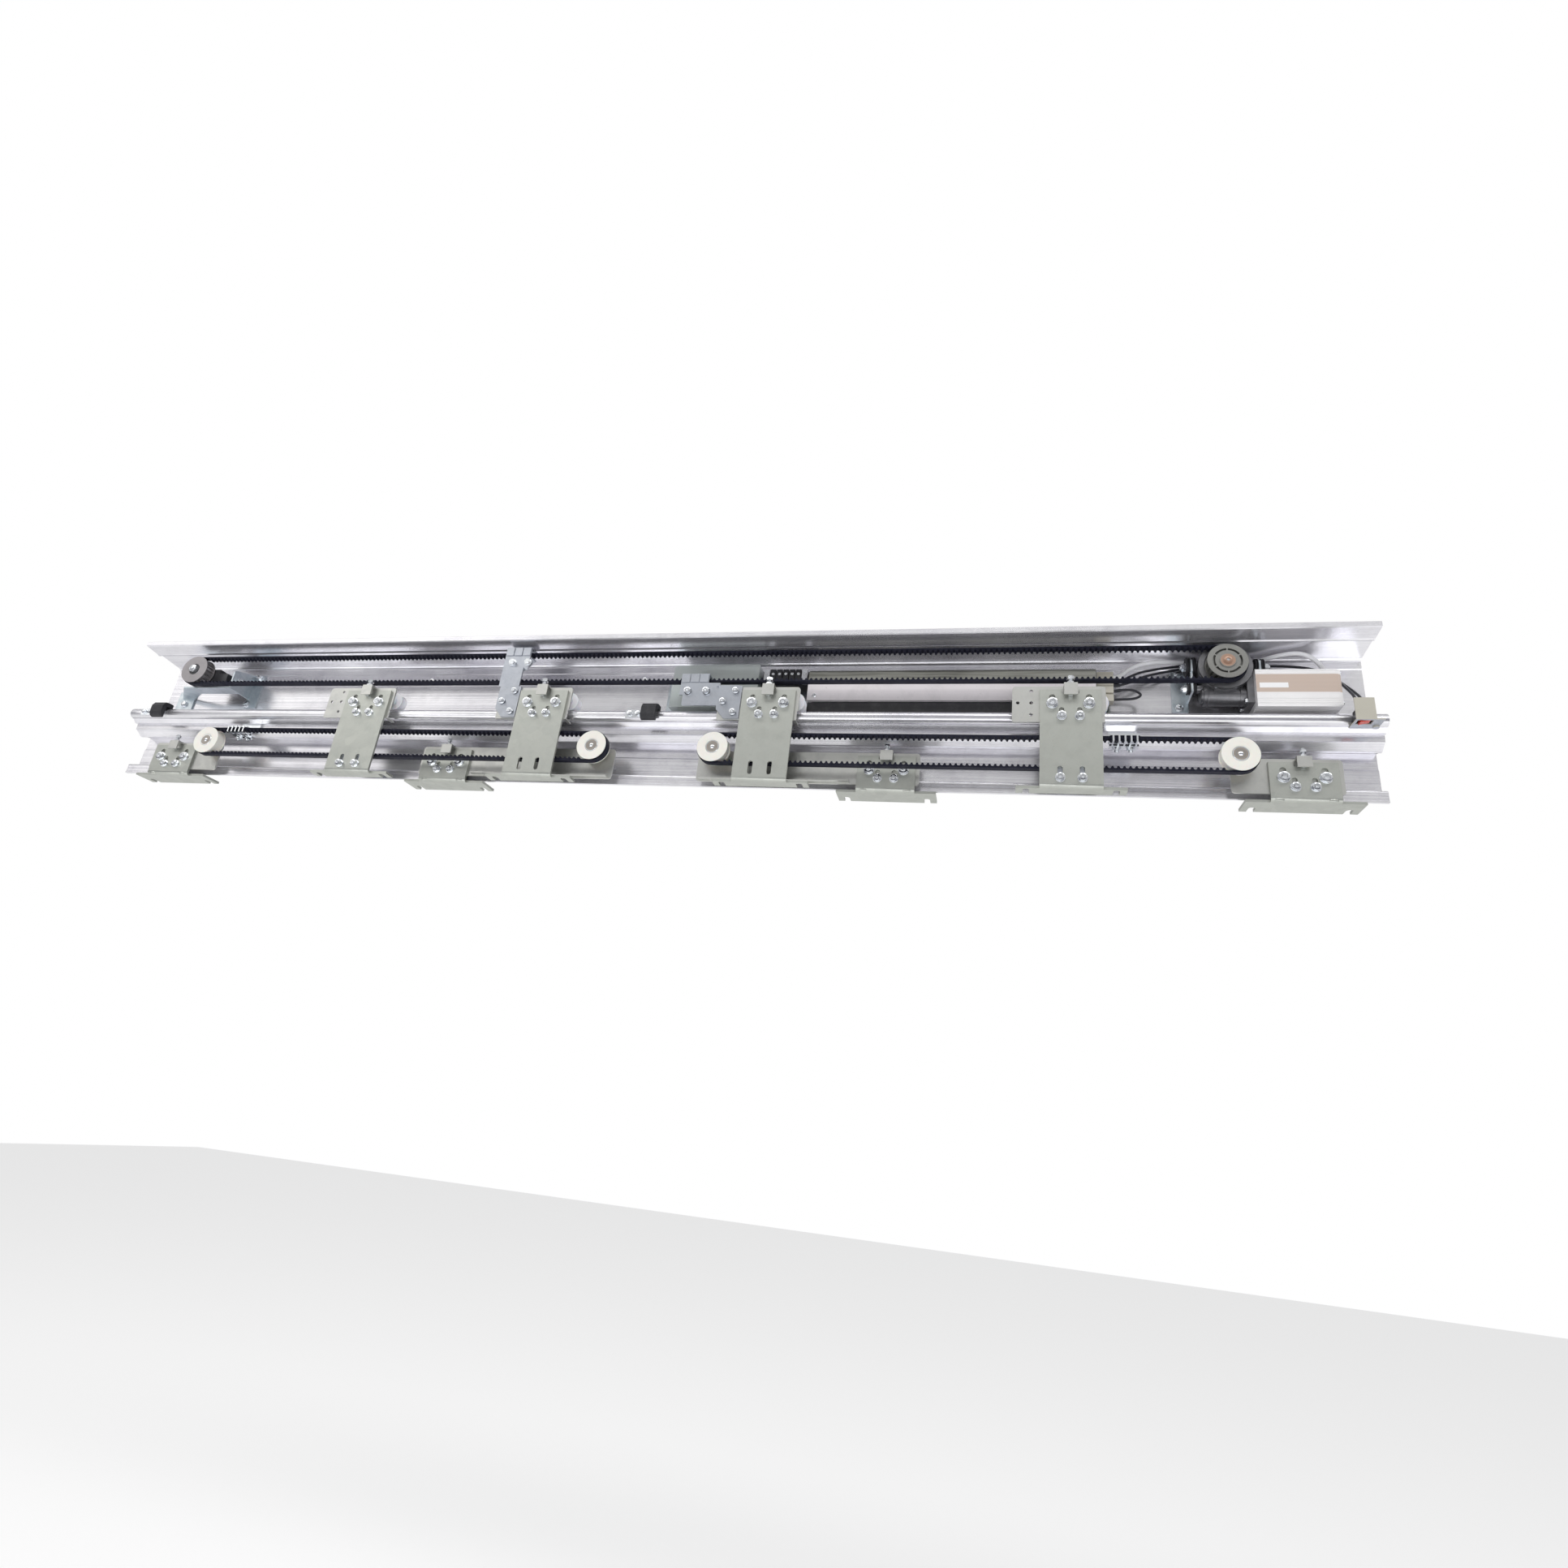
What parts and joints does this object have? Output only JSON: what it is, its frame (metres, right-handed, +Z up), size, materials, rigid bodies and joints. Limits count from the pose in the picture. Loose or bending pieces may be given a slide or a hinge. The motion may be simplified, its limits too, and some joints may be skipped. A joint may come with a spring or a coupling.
{
  "type": "telescopic sliding door drive with worm gearmotor",
  "caption": "Belt-driven telescopic sliding door operator: beam with worm gearmotor, toothed belts, carriages, controller, power supply and switch.",
  "frame": {"origin": "centre of the beam where its back face meets the wall", "axes": "+X along the beam towards the gearmotor, +Y into the wall, +Z up"},
  "size_m": [2.11, 0.094, 0.258],
  "materials": {
    "aluminium": "satin extruded",
    "bright_zinc": "bright zinc plated",
    "blue_zinc": "blue zinc plated",
    "zinc_plate": "galvanised sheet",
    "black_rubber": "matt",
    "dark_casting": "dark painted casting",
    "pale_extrusion": "pale anodised",
    "copper_wire": "enamelled wire",
    "rotor_steel": "machined",
    "bronze": "machined",
    "black_plastic": "moulded",
    "clear_cover": "clear plastic",
    "circuit_board": "assembled board",
    "cover_sheet": "satin",
    "cable_jacket": "soft jacket",
    "switch_sheet": "satin",
    "red_plastic": "glossy",
    "grey_pulley": "dark anodised",
    "ivory_plastic": "moulded",
    "white_plastic": "moulded"
  },
  "bodies": {
    "beam": {"header_profile": "aluminium", "lower_profile": "aluminium", "beam_fasteners": "bright_zinc", "motor_bracket": "blue_zinc", "rubber_mounts": "black_rubber", "gearbox_housing": "dark_casting", "motor_housing": "pale_extrusion", "motor_windings": "copper_wire", "gearmotor_bearings": "bright_zinc", "idler_bracket": "blue_zinc", "belt_tensioner": "black_plastic", "stop_clips": "bright_zinc", "stop_bumpers": "black_rubber", "upper_belt": "black_rubber", "belt_anchors": "bright_zinc", "power_supply_cover": "clear_cover", "circuit_boards": "circuit_board", "controller_tray": "black_plastic", "controller_cover": "cover_sheet", "wiring": "cable_jacket", "switch_cover": "switch_sheet", "switch_body": "black_plastic"},
    "drive_train": {"drive_pulley": "grey_pulley", "output_shaft": "bright_zinc", "worm_wheel": "bronze"},
    "rotor": {"motor_rotor": "rotor_steel"},
    "idler": {"idler_pulley": "grey_pulley"},
    "rocker": {"switch_rocker": "red_plastic"},
    "fast_left": {"fast_left_hangers": "zinc_plate", "fast_left_roller_plates": "zinc_plate", "fast_left_fasteners": "bright_zinc", "fast_left_clamps": "bright_zinc"},
    "slow_left": {"slow_left_hangers": "zinc_plate", "slow_left_pulley_plates": "zinc_plate", "slow_left_fasteners": "bright_zinc", "lower_belt_left": "black_rubber"},
    "fast_right": {"fast_right_hangers": "zinc_plate", "fast_right_roller_plates": "zinc_plate", "fast_right_fasteners": "bright_zinc", "fast_right_clamps": "bright_zinc"},
    "slow_right": {"slow_right_hangers": "zinc_plate", "slow_right_pulley_plates": "zinc_plate", "slow_right_fasteners": "bright_zinc", "lower_belt_right": "black_rubber"},
    "telescope_pulley_1": {"tele_pulley_1": "ivory_plastic"},
    "telescope_pulley_2": {"tele_pulley_2": "ivory_plastic"},
    "telescope_pulley_3": {"tele_pulley_3": "ivory_plastic"},
    "telescope_pulley_4": {"tele_pulley_4": "ivory_plastic"},
    "fast_wheel_1": {"fast_roller_1": "white_plastic"},
    "fast_wheel_2": {"fast_roller_2": "white_plastic"},
    "fast_wheel_3": {"fast_roller_3": "white_plastic"},
    "fast_wheel_4": {"fast_roller_4": "white_plastic"},
    "fast_wheel_5": {"fast_roller_5": "white_plastic"},
    "fast_wheel_6": {"fast_roller_6": "white_plastic"},
    "fast_wheel_7": {"fast_roller_7": "white_plastic"},
    "fast_wheel_8": {"fast_roller_8": "white_plastic"},
    "slow_wheel_1": {"slow_roller_1": "white_plastic"},
    "slow_wheel_2": {"slow_roller_2": "white_plastic"},
    "slow_wheel_3": {"slow_roller_3": "white_plastic"},
    "slow_wheel_4": {"slow_roller_4": "white_plastic"}
  },
  "joints": [
    {"name": "fast_left_slide", "type": "slide", "parent": "beam", "child": "fast_left", "axis": [-1, 0, 0], "range_m": [-0.016, 0.1]},
    {"name": "fast_right_slide", "type": "slide", "parent": "beam", "child": "fast_right", "axis": [1, 0, 0], "range_m": [-0.016, 0.1]},
    {"name": "slow_left_slide", "type": "slide", "parent": "beam", "child": "slow_left", "axis": [-1, 0, 0], "range_m": [-0.008, 0.05]},
    {"name": "slow_right_slide", "type": "slide", "parent": "beam", "child": "slow_right", "axis": [1, 0, 0], "range_m": [-0.008, 0.05]},
    {"name": "drive_pulley_spin", "type": "hinge", "parent": "beam", "child": "drive_train", "pos_m": [0.858, -0.06, 0.075], "axis": [0, -1, 0], "range_deg": [-36, 216]},
    {"name": "idler_pulley_spin", "type": "hinge", "parent": "beam", "child": "idler", "pos_m": [-0.938, -0.066, 0.075], "axis": [0, -1, 0], "range_deg": [-36, 216]},
    {"name": "rotor_spin", "type": "hinge", "parent": "beam", "child": "rotor", "pos_m": [0.93, -0.036, 0.038], "axis": [1, 0, 0], "range_deg": [-567, 3537]},
    {"name": "fast_wheel_1_spin", "type": "hinge", "parent": "fast_left", "child": "fast_wheel_1", "pos_m": [-0.571, -0.059, 0.0123], "axis": [0, -1, 0], "range_deg": [-67, 411]},
    {"name": "fast_wheel_2_spin", "type": "hinge", "parent": "fast_left", "child": "fast_wheel_2", "pos_m": [-0.495, -0.059, 0.0123], "axis": [0, -1, 0], "range_deg": [-67, 411]},
    {"name": "fast_wheel_3_spin", "type": "hinge", "parent": "fast_left", "child": "fast_wheel_3", "pos_m": [-0.235, -0.059, 0.0123], "axis": [0, -1, 0], "range_deg": [-67, 411]},
    {"name": "fast_wheel_4_spin", "type": "hinge", "parent": "fast_left", "child": "fast_wheel_4", "pos_m": [-0.159, -0.059, 0.0123], "axis": [0, -1, 0], "range_deg": [-67, 411]},
    {"name": "fast_wheel_5_spin", "type": "hinge", "parent": "fast_right", "child": "fast_wheel_5", "pos_m": [0.152, -0.059, 0.0123], "axis": [0, -1, 0], "range_deg": [-411, 67]},
    {"name": "fast_wheel_6_spin", "type": "hinge", "parent": "fast_right", "child": "fast_wheel_6", "pos_m": [0.228, -0.059, 0.0123], "axis": [0, -1, 0], "range_deg": [-411, 67]},
    {"name": "fast_wheel_7_spin", "type": "hinge", "parent": "fast_right", "child": "fast_wheel_7", "pos_m": [0.604, -0.059, 0.0123], "axis": [0, -1, 0], "range_deg": [-411, 67]},
    {"name": "fast_wheel_8_spin", "type": "hinge", "parent": "fast_right", "child": "fast_wheel_8", "pos_m": [0.68, -0.059, 0.0123], "axis": [0, -1, 0], "range_deg": [-411, 67]},
    {"name": "slow_wheel_1_spin", "type": "hinge", "parent": "slow_left", "child": "slow_wheel_1", "pos_m": [-0.937, -0.03, -0.0887], "axis": [0, -1, 0], "range_deg": [-34, 206]},
    {"name": "slow_wheel_2_spin", "type": "hinge", "parent": "slow_left", "child": "slow_wheel_2", "pos_m": [-0.37, -0.03, -0.0887], "axis": [0, -1, 0], "range_deg": [-34, 206]},
    {"name": "slow_wheel_3_spin", "type": "hinge", "parent": "slow_right", "child": "slow_wheel_3", "pos_m": [0.378, -0.03, -0.0887], "axis": [0, -1, 0], "range_deg": [-206, 34]},
    {"name": "slow_wheel_4_spin", "type": "hinge", "parent": "slow_right", "child": "slow_wheel_4", "pos_m": [0.948, -0.03, -0.0887], "axis": [0, -1, 0], "range_deg": [-206, 34]},
    {"name": "telescope_pulley_1_spin", "type": "hinge", "parent": "slow_left", "child": "telescope_pulley_1", "pos_m": [-0.848, -0.07, -0.072], "axis": [0, -1, 0], "range_deg": [-120, 20]},
    {"name": "telescope_pulley_2_spin", "type": "hinge", "parent": "slow_left", "child": "telescope_pulley_2", "pos_m": [-0.096, -0.07, -0.072], "axis": [0, -1, 0], "range_deg": [-120, 20]},
    {"name": "telescope_pulley_3_spin", "type": "hinge", "parent": "slow_right", "child": "telescope_pulley_3", "pos_m": [0.108, -0.07, -0.072], "axis": [0, -1, 0], "range_deg": [-20, 120]},
    {"name": "telescope_pulley_4_spin", "type": "hinge", "parent": "slow_right", "child": "telescope_pulley_4", "pos_m": [0.864, -0.07, -0.072], "axis": [0, -1, 0], "range_deg": [-20, 120]},
    {"name": "power_switch", "type": "hinge", "parent": "beam", "child": "rocker", "pos_m": [1.0205, -0.0776, -0.0171], "axis": [0, 1, 0], "range_deg": [0, 16]}
  ],
  "couplings": [
    {"joint": "fast_right_slide", "follows": "fast_left_slide", "ratio": 1},
    {"joint": "slow_left_slide", "follows": "fast_left_slide", "ratio": 0.5},
    {"joint": "slow_right_slide", "follows": "fast_left_slide", "ratio": 0.5},
    {"joint": "drive_pulley_spin", "follows": "fast_left_slide", "rad_per_m": 37.4},
    {"joint": "idler_pulley_spin", "follows": "fast_left_slide", "rad_per_m": 37.4},
    {"joint": "rotor_spin", "follows": "fast_left_slide", "rad_per_m": 617.1},
    {"joint": "fast_wheel_1_spin", "follows": "fast_left_slide", "rad_per_m": 71.429},
    {"joint": "fast_wheel_2_spin", "follows": "fast_left_slide", "rad_per_m": 71.429},
    {"joint": "fast_wheel_3_spin", "follows": "fast_left_slide", "rad_per_m": 71.429},
    {"joint": "fast_wheel_4_spin", "follows": "fast_left_slide", "rad_per_m": 71.429},
    {"joint": "fast_wheel_5_spin", "follows": "fast_left_slide", "rad_per_m": -71.429},
    {"joint": "fast_wheel_6_spin", "follows": "fast_left_slide", "rad_per_m": -71.429},
    {"joint": "fast_wheel_7_spin", "follows": "fast_left_slide", "rad_per_m": -71.429},
    {"joint": "fast_wheel_8_spin", "follows": "fast_left_slide", "rad_per_m": -71.429},
    {"joint": "slow_wheel_1_spin", "follows": "fast_left_slide", "rad_per_m": 35.714},
    {"joint": "slow_wheel_2_spin", "follows": "fast_left_slide", "rad_per_m": 35.714},
    {"joint": "slow_wheel_3_spin", "follows": "fast_left_slide", "rad_per_m": -35.714},
    {"joint": "slow_wheel_4_spin", "follows": "fast_left_slide", "rad_per_m": -35.714},
    {"joint": "telescope_pulley_1_spin", "follows": "fast_left_slide", "rad_per_m": -20.668},
    {"joint": "telescope_pulley_2_spin", "follows": "fast_left_slide", "rad_per_m": -20.668},
    {"joint": "telescope_pulley_3_spin", "follows": "fast_left_slide", "rad_per_m": 20.668},
    {"joint": "telescope_pulley_4_spin", "follows": "fast_left_slide", "rad_per_m": 20.668}
  ]
}
